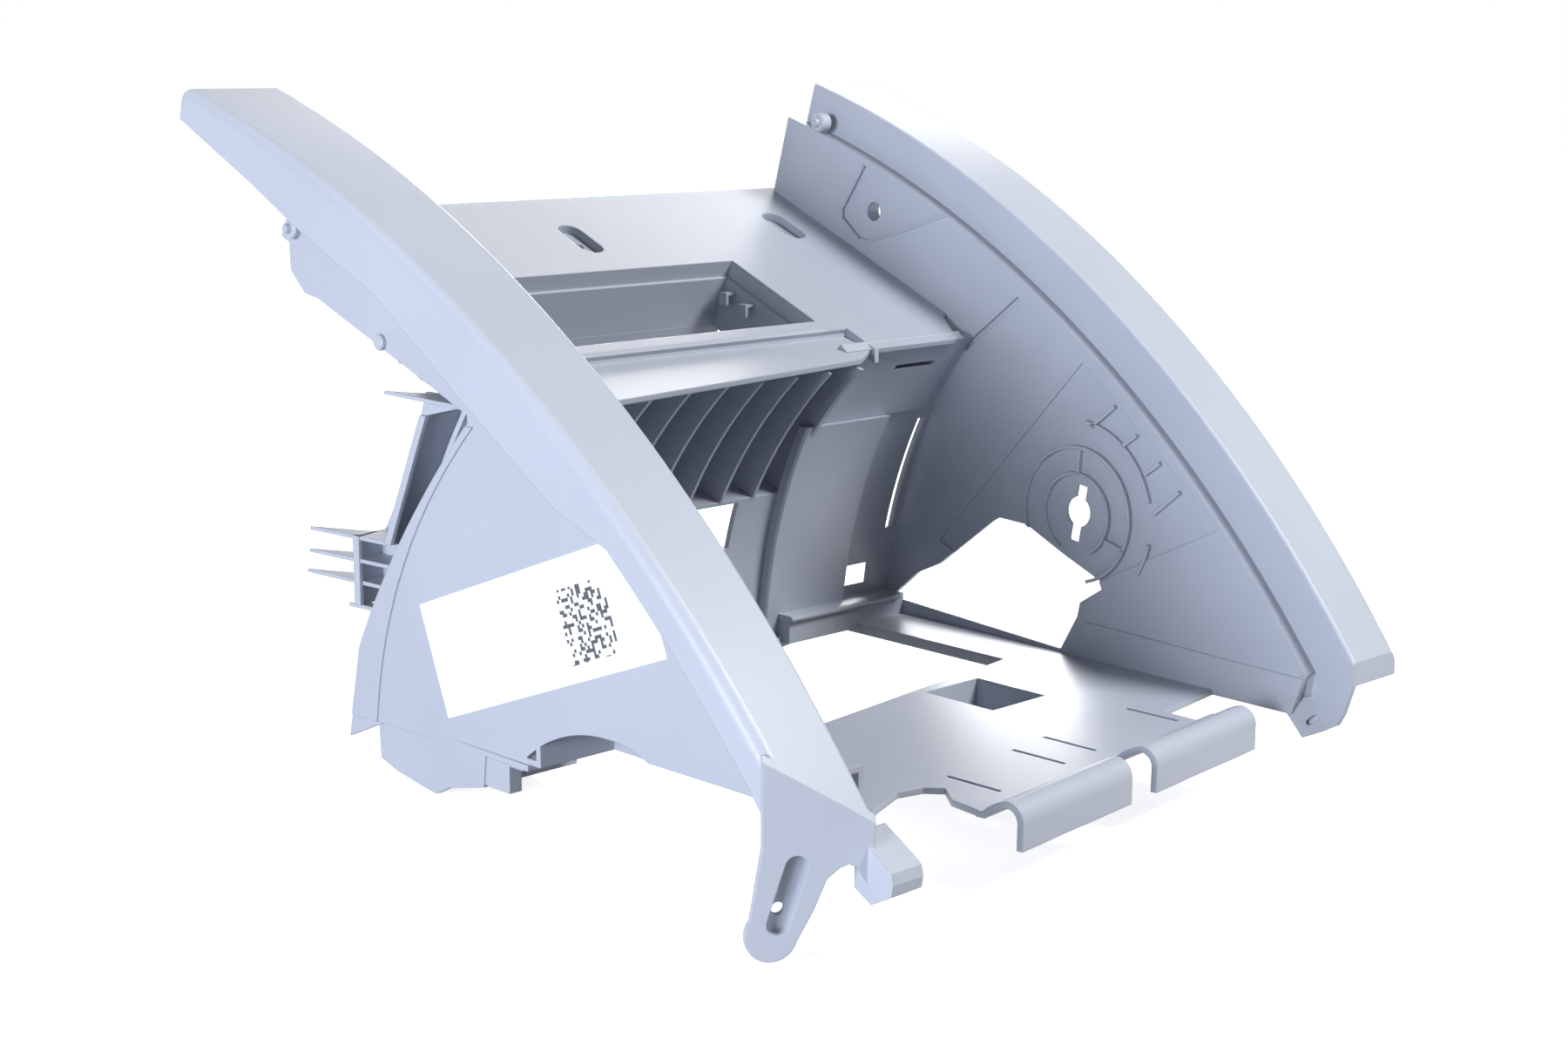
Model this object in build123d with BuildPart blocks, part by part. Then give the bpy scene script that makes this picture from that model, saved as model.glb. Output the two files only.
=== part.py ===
from build123d import *

import os
from math import acos, asin, atan2, cos, degrees, hypot, radians, sin, tan

os.makedirs("parts", exist_ok=True)

# Glove box frame of a car: one moulding that carries the lid, and its paper label.
# It is drawn with X across the car from the centre plane, Y to the rear and Z up.
# Y = 0 is at the top ends of the two bands, and Z = 0 is the top face of the floor.

# Walls
wall = 2.5
rib_wall = 1.6

# Bands: the two curved channels whose front faces lie beside the lid
band_top_z = 252.0
face_radius = 627.5
face_top_angle = 106.4
toe_y = -327.5
toe_height = 10.0
opening_top = 304.0
opening_bottom = 284.0
band_width_top = 43.5
band_width_bottom = 31.5
band_depth = 25.5
band_outer_round = 4.5
band_inner_round = 1.2
lid_recess = 19.0
ledge_width = 7.0
lip_depths = [(106.4, 12.0), (108.0, 15.0), (111.0, 19.0), (114.5, 23.0), (119.0, 21.7), (125.0, 25.4),
              (130.0, 22.4), (132.5, 13.0)]

# Degrees by which a cut runs on past the ends of the band, the ledge and the lug's plate
band_cut_overrun = 1.0
ledge_cut_overrun = 3.0
lug_cut_overrun = 10.0

# Cheeks: the two side walls behind the ledges
cheek_top_angle = 105.8
cheek_rear_top = (21.4, 199.0)
left_rear_y = 5.0
cheek_corner_z = 178.0
cheek_corner_step = (9.5, 9.0)
cheek_corner_flat = 18.8
cheek_under_panel_rear = 16.6
cheek_under_panel_front = 12.3
cheek_above_panel = 30.0
rim_start = (-111.0, 127.0)
rim_middle = (-66.0, 75.5)
rim_end = (-33.0, 24.0)
rim_foot = (-23.0, -16.5)
right_low_z = -2.5
left_low_z = -6.0
left_low_rear_y = -47.0
arch_rear = (-139.0, -2.2)
arch_rear_middle = (-163.0, 12.8)
arch_top = (-190.8, 17.8)
arch_front_middle = (-202.0, 16.9)
arch_front = (-212.0, 13.5)
cheek_front_y = -303.0

# Top panel and the ledge above the fins
panel_rear_y = 24.0
panel_rear_z = 200.3
panel_slope = 23.1
panel_front_y = -120.0
panel_left_cut_x = -120.0
window_left = -100.0
window_right = 60.0
window_rear_y = -40.0
window_front_y = -94.5
window_depth = 33.0
window_step_depth = 8.0
window_step_width = 1.5
shelf_rear_y = -102.0
shelf_right = 72.0
shelf_drop = 4.0
shelf_side_y = -116.0
shelf_front_right = (58.0, -126.0)
shelf_front_left = (-113.0, -137.5)
shelf_slope = 15.0
screw_recess_x = [-7.0, 119.0]
screw_recess_y = -12.5
screw_recess_length = 27.0
screw_recess_width = 12.0
screw_recess_depth = 4.0
screw_hole_radius = 2.6

# Back wall: part of a cylinder about the lid's pivot line
pivot_y = -310.0
pivot_z = -15.0
sweep_radius = 247.0
column_left = 56.0
column_right = 133.0
column_step = 1.5
column_step_z = 103.0
fin_spacing = 20.0
fin_first = -103.0
fin_count = 8
fin_depth = 15.0
fin_low_z = 69.0
fin_rear_top_z = 140.0
pocket_top_z = 146.0
wall_top_z = 138.5
bin_left = -113.0
lower_wall_z = 47.0
lower_wall_right = 29.0
strip_overlap = 1.0
slit_low_z = 42.0
slit_high_z = 98.0

# Right cheek: fields, disc, holes and slots, as side-view places (Y, Z)
field_depth = 1.0
disc_field = [(-182.7, 133.0), (-262.0, 70.0), (-256.0, 66.9), (-196.8, 36.0), (-120.0, 30.0), (-98.8, 39.5)]
disc_centre = (-182.5, 64.5)
disc_rib_height = 1.2
disc_rings = [(18.5, -60, 150), (30.5, -75, 135), (42.5, 95, 165), (42.5, -170, -150)]
disc_spokes = [((-189.9, 105.2), (-202.6, 115.6)), ((-208.0, 98.8), (-215.5, 104.4)),
               ((-220.5, 87.7), (-228.7, 93.8)), ((-226.5, 71.1), (-239.9, 82.7)),
               ((-183.0, 83.0), (-184.0, 94.5)), ((-200.0, 55.0), (-211.0, 52.0))]
rib_sink = 0.5
boss_field = [(-42.5, 214.0), (-28.1, 192.5), (-28.1, 188.3), (-40.1, 178.5), (-47.2, 178.1), (-70.0, 184.4),
              (-97.6, 193.3)]
boss_centre = (-48.7, 192.3)
boss_radius = 7.5
boss_hole_radius = 4.5
boss_length = 9.0
arm_cutout = [(-67.9, 6.9), (-84.9, 21.5), (-99.0, 28.1), (-131.3, 53.3), (-135.5, 55.9), (-152.4, 55.2),
              (-175.9, 44.7), (-197.3, 36.1), (-198.9, 32.8), (-186.8, 24.7), (-185.5, 18.0), (-176.5, 1.3)]
keyhole_centre = (-183.0, 65.6)
keyhole_radius = 6.8
keyhole_slot = ((-185.0, 77.8), (-181.0, 52.1))
keyhole_slot_width = 5.5
cheek_slot = ((-144.1, 158.2), (-111.5, 132.4))
cheek_slot_width = 2.5
cheek_slot_depth = 1.7

# Right front corner of the panel, and the fins' front edge
notch_rear_x = 138.0
notch_rear_y = -100.0
notch_front_x = 126.0
fin_front_y = -127.0
fin_front_z = 131.5
fin_front_middle = (-99.8, 103.0)

# Slit and window in the right column, and its foot
slit_left = 96.0
slit_right = 122.0
slit_z = 126.5
slit_width = 2.0
foot_window_left = 109.0
foot_window_right = 126.0
foot_window_low = 16.0
foot_window_high = 26.0
foot_left = 63.0
foot_front_y = -76.0
foot_rear_y = -62.0
foot_height = 10.0

# Toes, as side-view steps (Y, Z) from the bands' toe: right wall, slanted tab and left hook
toe_wall_outline = [(26.8, 1.5), (0, -5), (0, -10), (3.5, -22.1), (6.5, -28), (11, -30.5), (19.9, -18)]
tab_near = [(19.9, -18), (10.7, -30.4)]
tab_far = [(32.3, -19.2), (18.6, -34.1)]
tab_reach = 7.0
tab_hole = (9.0, 4.0)
tab_hole_size = (5.5, 2.4)
tab_hole_turn = 80.0
hook_outline = [(5.5, -7), (-7.2, -14.4), (-11.3, -17), (-12.2, -21), (-11.6, -25), (-2.4, -30.2), (5.5, -26)]
hook_length = 12.0

# Tray below the floor at the left rear
tray_left = 142.0
tray_right = 95.0
tray_rear_y = -43.0
tray_front_y = -116.5
tray_edge_y = -143.6
tray_floor = [(-44.0, -21.6), (-55.0, -24.7), (-82.6, -28.3), (-91.8, -23.6), (-115.0, -18.0)]

# Rear bracket: height and tip (X, Y) of each pointed plate, with the uprights' side outlines.
# The lower plates' tips and the uprights have their Y as a step behind the back wall's rearmost line.
bracket_plates = [
    (72.0, (-148.4, 56.6)),
    (62.5, (-149.0, 57.1)),
    (53.0, (-147.5, 61.0)),
    (43.0, (-146.0, 33.0)),
]
bracket_fins = [(133.0, (-139.5, -50.0), -106.0), (147.0, (-141.6, -63.3), -98.0)]
bracket_root = 141.5
bracket_right = 112.0
stay_x = 132.0
stay_outline = [(-21, 73), (29, 72), (33, 52), (17, 42), (-7, 42)]
web_x = 125.0
web_outline = [(-45, 132), (5, 132), (17, 100), (36, 71), (-15, 71)]

# Floor
floor_rear_y = -42.0
floor_left = -104.0
raised_rear_y = -150.0
raised_front_y = -284.0
raised_height = 21.5
floor_notch = [(139.0, -262.0), (92.6, -269.0)]
floor_scallop = [(-59.0, -288.0), (-50.5, -277.0), (-56.0, -271.0), (-67.0, -268.4), (-83.0, -274.6)]
opening_rear = [(108.6, -53.5), (83.0, -65.4), (60.0, -72.0), (-95.0, -80.0)]
opening_front = [(-95.0, -195.4), (91.0, -170.6), (108.6, -168.0)]
opening_skirt = 5.0
pocket_left = 41.4
pocket_right = 75.2
pocket_rear_y = -181.6
pocket_front_y = -220.0
pocket_depth = 18.0
slot_length = 26.0
slot_width = 2.0
slot_places = [(-38.8, -280.6), (5.4, -275.0), (27.8, -272.0), (85.2, -268.5)]
slot_skew = 2.0
lip_skew = 6.0
lip_left = -61.0
lip_right = 105.5
lip_front_y = -316.0
lip_reach = 18.0
lip_crest = 6.0
lip_drop = 11.5
lip_gap_left = 11.5
lip_gap_right = 29.0

# Section of the rolled lip. The crown lies at a share of the reach. Each pair is the middle of an arc: a
# share of the crown's place for a rise, or of the reach for a fall, and a share of the crest. The straight
# front starts lip_shoulder below the floor's top face
lip_crown_share = 0.58
lip_rise_middle = (0.5, 0.64)
lip_fall_middle = (0.9, 0.6)
lip_under_fall_middle = (0.78, 0.32)
lip_under_rise_middle = (0.56, 0.22)
lip_shoulder = 1.0

# Left end of the frame: slanted end face, fixing lug and hook
end_corner = (-173.5, -312.7)
end_turn = 28.2
lug_outline = [(-7.1, -9.8), (-2.8, 15.0), (-3.0, 46.0), (37.0, 46.0), (35.3, 15.5), (35.0, -5.2),
               (32.5, -0.1), (29.4, 5.6), (26.4, 7.1), (23.5, 6.1), (19.0, 2.6), (14.7, -7.5), (8.8, -18.0)]
lug_bottom = (-0.3, -24.3)
lug_slot_top = (8.6, 7.5)
lug_slot_bottom = (2.4, -11.5)
lug_slot_width = 8.0
lug_slot_depth = 5.0
lug_hole_rise = 4.0
lug_hole_radius = 2.2

# Label
label_length = 140.0
label_height = 47.0
label_tilt = 20.7
label_centre = (-149.9, 52.4)
label_thickness = 0.3

# Values that follow from the sizes above
face_centre = (
    -face_radius * cos(radians(face_top_angle)),
    band_top_z - face_radius * sin(radians(face_top_angle)),
)
toe_angle = degrees(acos((toe_y - face_centre[0]) / face_radius))
toe_z = face_centre[1] + face_radius * sin(radians(toe_angle))
chord_length = hypot(toe_y, band_top_z - toe_z)
chord_y = toe_y / chord_length
chord_z = (toe_z - band_top_z) / chord_length
inner_top = opening_top / 2
inner_bottom = opening_bottom / 2
outer_top = inner_top + band_width_top
outer_bottom = inner_bottom + band_width_bottom
panel_run = cos(radians(panel_slope))
panel_fall = tan(radians(panel_slope))
far_depth = 2 * band_depth
beyond = inner_top + wall
wall_rear_y = pivot_y + sweep_radius
cheek_face_top = inner_top - ledge_width + wall
cheek_face_bottom = inner_bottom - ledge_width + wall


def face_point(depth, angle):
    """Side-view point (Y, Z) that lies depth behind the bands' front arc, at an angle about its centre."""
    radius = face_radius - depth
    return (face_centre[0] + radius * cos(radians(angle)), face_centre[1] + radius * sin(radians(angle)))


def sweep_angle(radius, height):
    """Angle about the pivot of the point at a radius and a height Z."""
    return degrees(asin((height - pivot_z) / radius))


def sweep_y(radius, height):
    """Place Y of the point at a radius about the pivot and a height Z."""
    return pivot_y + radius * cos(radians(sweep_angle(radius, height)))


def side_plane(x_top, x_bottom):
    """Upright plane that holds the chord's direction, at x_top at its top and at x_bottom at the toe."""
    slope = (x_bottom - x_top) / chord_length
    along = (slope, chord_y, chord_z)
    across = (1, -slope * chord_y, -slope * chord_z)
    return Plane(origin=(x_top, 0, band_top_z), x_dir=along, z_dir=across)


def side_x(outboard, y, z):
    """Place X, at a side-view place, of the side plane a distance outboard of the lid opening's edge."""
    slope = (inner_bottom - inner_top) / chord_length
    return inner_top + outboard + slope * (chord_y * y + chord_z * (z - band_top_z))


def panel_z(y):
    """Height of the panel's top face at a place y."""
    return panel_rear_z + (y - panel_rear_y) * panel_fall


def lip_line_y(x):
    """Place Y of the line where the rolled lip leaves the floor."""
    return lip_front_y + lip_reach + x * tan(radians(lip_skew))


def panel_point(x, y):
    """Point of the panel's own plane above a place (x, y)."""
    return (x, (y - panel_rear_y) / panel_run)


def band_outline(inset, depth):
    """Outline of a band from the side, drawn in by inset, with its back arc at a depth behind the face."""
    low_z = toe_z - toe_height + inset
    start_angle = face_top_angle + degrees(inset / face_radius)
    end_angle = degrees(acos((toe_y + inset - face_centre[0]) / (face_radius - inset)))
    heel_angle = 180 - degrees(asin((low_z - face_centre[1]) / (face_radius - depth)))
    with BuildLine() as outline:
        front = CenterArc(face_centre, face_radius - inset, start_angle, end_angle - start_angle)
        back = CenterArc(face_centre, face_radius - depth, start_angle, heel_angle - start_angle)
        Line(front @ 0, back @ 0)
        Polyline(front @ 1, (toe_y + inset, low_z), back @ 1)
    return outline.edges()


def ring_sector(centre, near, far, start_angle, end_angle):
    """Outline between two radii and two angles about a centre."""
    with BuildLine() as outline:
        inner = CenterArc(centre, near, start_angle, end_angle - start_angle)
        outer = CenterArc(centre, far, start_angle, end_angle - start_angle)
        Line(inner @ 0, outer @ 0)
        Line(inner @ 1, outer @ 1)
    return outline.edges()


def face_strip(shallow, deep, start_angle, end_angle):
    """Side outline between two depths behind the bands' front arc."""
    return ring_sector(face_centre, face_radius - deep, face_radius - shallow, start_angle, end_angle)


def sweep_strip(radius, thickness, low_z, high_z):
    """Side outline of a strip of the back wall between two heights."""
    start_angle = sweep_angle(radius, low_z)
    end_angle = sweep_angle(radius, high_z)
    return ring_sector((pivot_y, pivot_z), radius, radius + thickness, start_angle, end_angle)


def cross_piece(outline, x_left, x_right):
    """Solid with a side outline, straight across the car from x_left to x_right."""
    with BuildPart() as piece:
        with BuildSketch(Plane.YZ.offset(x_left)):
            make_face(outline)
        extrude(amount=x_right - x_left)
    return piece.part


def side_slab(outline, near, far):
    """Slab with a side outline, between planes that lie near and far outboard of the lid opening's edge."""
    with BuildPart() as slab:
        with BuildSketch(Plane.YZ.offset(inner_bottom + near - wall)):
            make_face(outline)
        extrude(amount=inner_top - inner_bottom + far - near + 2 * wall)
        split(bisect_by=side_plane(inner_top + near, inner_bottom + near), keep=Keep.TOP)
        split(bisect_by=side_plane(inner_top + far, inner_bottom + far), keep=Keep.BOTTOM)
    return slab.part


def plate(corners, top_plane, thickness):
    """Flat plate below a plane, with the corners given on it."""
    with BuildPart() as piece:
        with BuildSketch(top_plane):
            with BuildLine():
                Polyline(corners, close=True)
            make_face()
        extrude(amount=-thickness)
    return piece.part


def box_between(low, high):
    """Upright block between two opposite corners."""
    size = [high[axis] - low[axis] for axis in range(3)]
    middle = [(high[axis] + low[axis]) / 2 for axis in range(3)]
    with BuildPart(Plane(origin=middle)) as piece:
        Box(*size)
    return piece.part


# Right band, cut to its taper by two side planes
with BuildPart() as band_cavity:
    with BuildSketch(Plane.YZ.offset(inner_bottom)):
        make_face(band_outline(wall, far_depth))
    extrude(amount=outer_top - inner_bottom)
    split(bisect_by=side_plane(inner_top + wall, inner_bottom + wall), keep=Keep.TOP)
    split(bisect_by=side_plane(outer_top - wall, outer_bottom - wall), keep=Keep.BOTTOM)

with BuildPart() as right_band:
    with BuildSketch(Plane.YZ.offset(inner_bottom - wall)):
        make_face(band_outline(0, band_depth))
    extrude(amount=outer_top - inner_bottom + 2 * wall)
    split(bisect_by=side_plane(inner_top, inner_bottom), keep=Keep.TOP)
    split(bisect_by=side_plane(outer_top, outer_bottom), keep=Keep.BOTTOM)
    front_face = right_band.faces().filter_by(GeomType.CYLINDER).sort_by(lambda face: face.radius)[-1]
    long_edges = front_face.edges().sort_by(Axis.X)
    fillet(long_edges[-1], radius=band_outer_round)
    fillet(long_edges[0], radius=band_inner_round)
    add(band_cavity.part, mode=Mode.SUBTRACT)
    # Back edge of the outer lip
    with BuildSketch(Plane.YZ.offset(outer_bottom - 2 * wall)):
        with BuildLine():
            lip_edge = Polyline([face_point(depth, angle) for angle, depth in lip_depths])
            lip_tail = ThreePointArc(
                lip_edge @ 1,
                face_point(lip_depths[-1][1], (lip_depths[-1][0] + toe_angle) / 2),
                face_point(lip_depths[-1][1], toe_angle + band_cut_overrun),
            )
            Polyline(
                lip_tail @ 1,
                face_point(far_depth, toe_angle + band_cut_overrun),
                face_point(far_depth, (face_top_angle + toe_angle) / 2),
                face_point(far_depth, face_top_angle - band_cut_overrun),
                face_point(lip_depths[0][1], face_top_angle - band_cut_overrun),
                lip_edge @ 0,
            )
        make_face()
    extrude(amount=outer_top - outer_bottom + 3 * wall, mode=Mode.SUBTRACT)
    # Back edge of the inner wall, where the ledge meets it
    cut_start_angle = face_top_angle - band_cut_overrun
    cut_end_angle = toe_angle + ledge_cut_overrun
    with BuildSketch(Plane.YZ.offset(inner_bottom - wall)):
        make_face(face_strip(lid_recess + wall, far_depth, cut_start_angle, cut_end_angle))
    extrude(amount=outer_bottom - inner_bottom - wall, mode=Mode.SUBTRACT)

# Left band, its end cut by the slanted plane that the lug lies in
end_plane = Plane(
    origin=(end_corner[0], end_corner[1], 0),
    x_dir=(cos(radians(end_turn)), -sin(radians(end_turn)), 0),
    z_dir=(-sin(radians(end_turn)), -cos(radians(end_turn)), 0),
)

with BuildPart() as left_band:
    add(mirror(right_band.part, about=Plane.YZ, mode=Mode.PRIVATE))
    split(bisect_by=end_plane, keep=Keep.BOTTOM)

# Fixing lug: end plate of the left band, with a slotted pocket and a screw hole
slot_rise = lug_slot_top[1] - lug_slot_bottom[1]
slot_run = lug_slot_top[0] - lug_slot_bottom[0]
slot_middle = ((lug_slot_top[0] + lug_slot_bottom[0]) / 2, (lug_slot_top[1] + lug_slot_bottom[1]) / 2)
slot_lean = degrees(atan2(slot_rise, slot_run))
hole_share = lug_hole_rise / hypot(slot_rise, slot_run)
lug_hole = (lug_slot_bottom[0] + slot_run * hole_share, lug_slot_bottom[1] + slot_rise * hole_share)

with BuildPart() as lug:
    with BuildSketch(end_plane):
        with BuildLine():
            lug_edge = Polyline(lug_outline)
            ThreePointArc(lug_edge @ 1, lug_bottom, lug_edge @ 0)
        make_face()
    extrude(amount=-wall)
    with BuildSketch(end_plane.offset(-wall)):
        with Locations(slot_middle):
            SlotCenterToCenter(hypot(slot_rise, slot_run), lug_slot_width + 2 * wall, rotation=slot_lean)
    extrude(amount=-lug_slot_depth)
    with BuildSketch(end_plane):
        with Locations(slot_middle):
            SlotCenterToCenter(hypot(slot_rise, slot_run), lug_slot_width, rotation=slot_lean)
    extrude(amount=-lug_slot_depth, mode=Mode.SUBTRACT)
    with BuildSketch(end_plane):
        with Locations(lug_hole):
            Circle(lug_hole_radius)
    extrude(amount=-lug_slot_depth - 2 * wall, mode=Mode.SUBTRACT)
    # The band's front arc trims the top of the plate
    with BuildSketch(Plane.YZ.offset(-outer_top)):
        make_face(face_strip(-far_depth, 0, toe_angle - lug_cut_overrun, toe_angle + lug_cut_overrun))
    extrude(amount=outer_top, mode=Mode.SUBTRACT)

# Ledges that the lid closes against, one behind each band
heel_angle = 180 - degrees(asin((toe_z - toe_height + wall - face_centre[1]) / (face_radius - lid_recess)))
ledge_strip = face_strip(lid_recess, lid_recess + wall, cheek_top_angle, heel_angle)
right_ledge = side_slab(ledge_strip, -ledge_width, wall)
left_ledge = mirror(right_ledge, about=Plane.YZ)


def polygon(corners):
    """Closed outline through the corners given."""
    with BuildLine() as outline:
        Polyline(corners, close=True)
    return outline.edges()


def round_outline(centre, radius):
    """Full circle."""
    with BuildLine() as outline:
        CenterArc(centre, radius, 0, 360)
    return outline.edges()


def bar_outline(start, end, width):
    """Straight bar of a width from one point to another."""
    length = hypot(end[0] - start[0], end[1] - start[1])
    side = ((start[1] - end[1]) / length * width / 2, (end[0] - start[0]) / length * width / 2)
    return polygon([
        (start[0] + side[0], start[1] + side[1]),
        (end[0] + side[0], end[1] + side[1]),
        (end[0] - side[0], end[1] - side[1]),
        (start[0] - side[0], start[1] - side[1]),
    ])


def cheek_outline(rear_points, rim_points, low_points):
    """Side outline of a cheek: ledge arc, rear edge, lower edge under the panel, rim and bottom."""
    corner_y = rear_points[0][0] - cheek_corner_flat
    rim_y = rim_points[0][0]
    front_turn = heel_angle - cheek_top_angle
    with BuildLine() as outline:
        front = CenterArc(face_centre, face_radius - lid_recess, cheek_top_angle, front_turn)
        rear = Polyline(
            front @ 0,
            *rear_points,
            (corner_y, panel_z(corner_y) - cheek_under_panel_rear),
            (rim_y, panel_z(rim_y) - cheek_under_panel_front),
            rim_points[0],
        )
        rim = ThreePointArc(*rim_points)
        Polyline(rim @ 1, *low_points, front @ 1)
    return outline.edges()


def in_cheek(outline, near, far):
    """Slab of the right cheek's taper; near and far are measured outboard from its inner face."""
    return side_slab(outline, near - ledge_width, far - ledge_width)


# Right cheek: cut-out for the arm, keyhole for the lid's stay, screw boss, slot and stepped disc
right_rear = [cheek_rear_top, (cheek_rear_top[0], panel_z(cheek_rear_top[0]) - 2 * wall)]
right_rim_heights = (rim_start[1], rim_middle[1], right_low_z)
right_rim = [(sweep_y(sweep_radius + wall, height), height) for height in right_rim_heights]
right_low = [(cheek_front_y, right_low_z)]
rib_crest = field_depth - disc_rib_height
rib_base = field_depth + rib_sink

with BuildPart() as right_cheek:
    add(in_cheek(cheek_outline(right_rear, right_rim, right_low), 0, wall))
    add(in_cheek(polygon(disc_field), -wall, field_depth), mode=Mode.SUBTRACT)
    for radius, start_angle, end_angle in disc_rings:
        strip = ring_sector(disc_centre, radius - rib_wall / 2, radius + rib_wall / 2, start_angle, end_angle)
        add(in_cheek(strip, rib_crest, rib_base))
    for start, end in disc_spokes:
        add(in_cheek(bar_outline(start, end, rib_wall), rib_crest, rib_base))
    add(in_cheek(polygon(boss_field), -wall, field_depth), mode=Mode.SUBTRACT)
    # The boss starts within the wall and ends square to its bore
    boss_start = side_x((field_depth + wall) / 2 - ledge_width, *boss_centre)
    boss_end = side_x(boss_length - ledge_width, *boss_centre)
    add(cross_piece(round_outline(boss_centre, boss_radius), boss_start, boss_end))
    add(in_cheek(round_outline(boss_centre, boss_hole_radius), -wall, boss_length + wall), mode=Mode.SUBTRACT)
    add(in_cheek(polygon(arm_cutout), -wall, 2 * wall), mode=Mode.SUBTRACT)
    add(in_cheek(round_outline(keyhole_centre, keyhole_radius), -wall, 2 * wall), mode=Mode.SUBTRACT)
    add(in_cheek(bar_outline(*keyhole_slot, keyhole_slot_width), -wall, 2 * wall), mode=Mode.SUBTRACT)
    add(in_cheek(bar_outline(*cheek_slot, cheek_slot_width), -wall, cheek_slot_depth), mode=Mode.SUBTRACT)

# Left cheek: plain outside, with an arch in its lower edge
left_rear = [
    (left_rear_y, panel_z(left_rear_y) + cheek_above_panel),
    (left_rear_y, cheek_corner_z),
    (left_rear_y - cheek_corner_step[0], cheek_corner_z - cheek_corner_step[1]),
]
left_rim = [rim_start, rim_middle, rim_end]
left_low = [rim_foot, (left_low_rear_y, left_low_z), (arch_rear[0], left_low_z), (cheek_front_y, left_low_z)]


def arch_outline():
    """Side outline of the space below the left cheek's arched edge."""
    below = left_low_z - 3 * wall
    with BuildLine() as outline:
        rise = ThreePointArc(arch_rear, arch_rear_middle, arch_top)
        fall = ThreePointArc(arch_top, arch_front_middle, arch_front)
        Polyline(
            fall @ 1,
            (2 * cheek_front_y, arch_front[1]),
            (2 * cheek_front_y, below),
            (arch_rear[0], below),
            rise @ 0,
        )
    return outline.edges()


with BuildPart() as left_cheek:
    left_outline = cheek_outline(left_rear, left_rim, left_low)
    add(mirror(in_cheek(left_outline, 0, wall), about=Plane.YZ, mode=Mode.PRIVATE))
    below_arch = in_cheek(arch_outline(), -wall, 2 * wall)
    add(mirror(below_arch, about=Plane.YZ, mode=Mode.PRIVATE), mode=Mode.SUBTRACT)

# Top panel with its window, screw recesses and the step down to the shelf
panel_plane = Plane(
    origin=(0, panel_rear_y, panel_rear_z),
    x_dir=(1, 0, 0),
    z_dir=(0, -sin(radians(panel_slope)), cos(radians(panel_slope))),
)
panel_corners = [
    (-beyond, left_rear_y), (panel_left_cut_x, panel_rear_y), (beyond, panel_rear_y), (beyond, notch_rear_y),
    (notch_rear_x, notch_rear_y), (notch_front_x, panel_front_y), (shelf_right, panel_front_y),
    (shelf_right, shelf_rear_y), (bin_left, shelf_rear_y), (bin_left, panel_front_y),
    (-notch_front_x, panel_front_y), (-notch_rear_x, notch_rear_y), (-beyond, notch_rear_y),
]
window_middle = panel_point((window_left + window_right) / 2, (window_rear_y + window_front_y) / 2)
window_size = (window_right - window_left, (window_rear_y - window_front_y) / panel_run)

with BuildPart() as panel:
    with BuildSketch(panel_plane):
        make_face(polygon([panel_point(x, y) for x, y in panel_corners]))
    extrude(amount=-wall)
    with BuildSketch(panel_plane):
        with Locations(window_middle):
            Rectangle(window_size[0] + 2 * wall, window_size[1] + 2 * wall)
    extrude(amount=-window_depth)
    with BuildSketch(panel_plane):
        with Locations(window_middle):
            Rectangle(*window_size)
    extrude(amount=-window_step_depth, mode=Mode.SUBTRACT)
    with BuildSketch(panel_plane):
        with Locations(window_middle):
            Rectangle(window_size[0] - 2 * window_step_width, window_size[1] - 2 * window_step_width)
    extrude(amount=-window_depth - wall, mode=Mode.SUBTRACT)
    screw_places = [panel_point(x, screw_recess_y) for x in screw_recess_x]
    with BuildSketch(panel_plane):
        with Locations(screw_places):
            SlotOverall(screw_recess_length + 2 * rib_wall, screw_recess_width + 2 * rib_wall, rotation=90)
    extrude(amount=-screw_recess_depth - rib_wall)
    with BuildSketch(panel_plane):
        with Locations(screw_places):
            SlotOverall(screw_recess_length, screw_recess_width, rotation=90)
    extrude(amount=-screw_recess_depth, mode=Mode.SUBTRACT)
    with BuildSketch(panel_plane):
        with Locations(screw_places):
            Circle(screw_hole_radius)
    extrude(amount=-screw_recess_depth - wall, mode=Mode.SUBTRACT)

# Shelf above the fins, and the two risers that join it to the panel
shelf_z = panel_z(shelf_rear_y) - shelf_drop
shelf_run = cos(radians(shelf_slope))
shelf_plane = Plane(
    origin=(0, shelf_rear_y, shelf_z),
    x_dir=(1, 0, 0),
    z_dir=(0, -sin(radians(shelf_slope)), cos(radians(shelf_slope))),
)
shelf_corners = [
    (bin_left, shelf_rear_y + wall), (shelf_right + wall, shelf_rear_y + wall),
    (shelf_right + wall, shelf_side_y), shelf_front_right, shelf_front_left,
]
shelf = plate([(x, (y - shelf_rear_y) / shelf_run) for x, y in shelf_corners], shelf_plane, wall)
riser = cross_piece(
    polygon([
        (shelf_rear_y, panel_z(shelf_rear_y) - rib_sink),
        (shelf_rear_y + wall, panel_z(shelf_rear_y + wall) - rib_sink),
        (shelf_rear_y + wall, shelf_z - wall),
        (shelf_rear_y, shelf_z - wall),
    ]),
    bin_left,
    shelf_right + wall,
)
side_riser = cross_piece(
    polygon([
        (shelf_rear_y, panel_z(shelf_rear_y) - rib_sink),
        (panel_front_y, panel_z(panel_front_y) - rib_sink),
        (panel_front_y, panel_z(panel_front_y) - wall - shelf_drop),
        (shelf_rear_y, shelf_z - wall),
    ]),
    shelf_right,
    shelf_right + wall,
)

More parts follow.
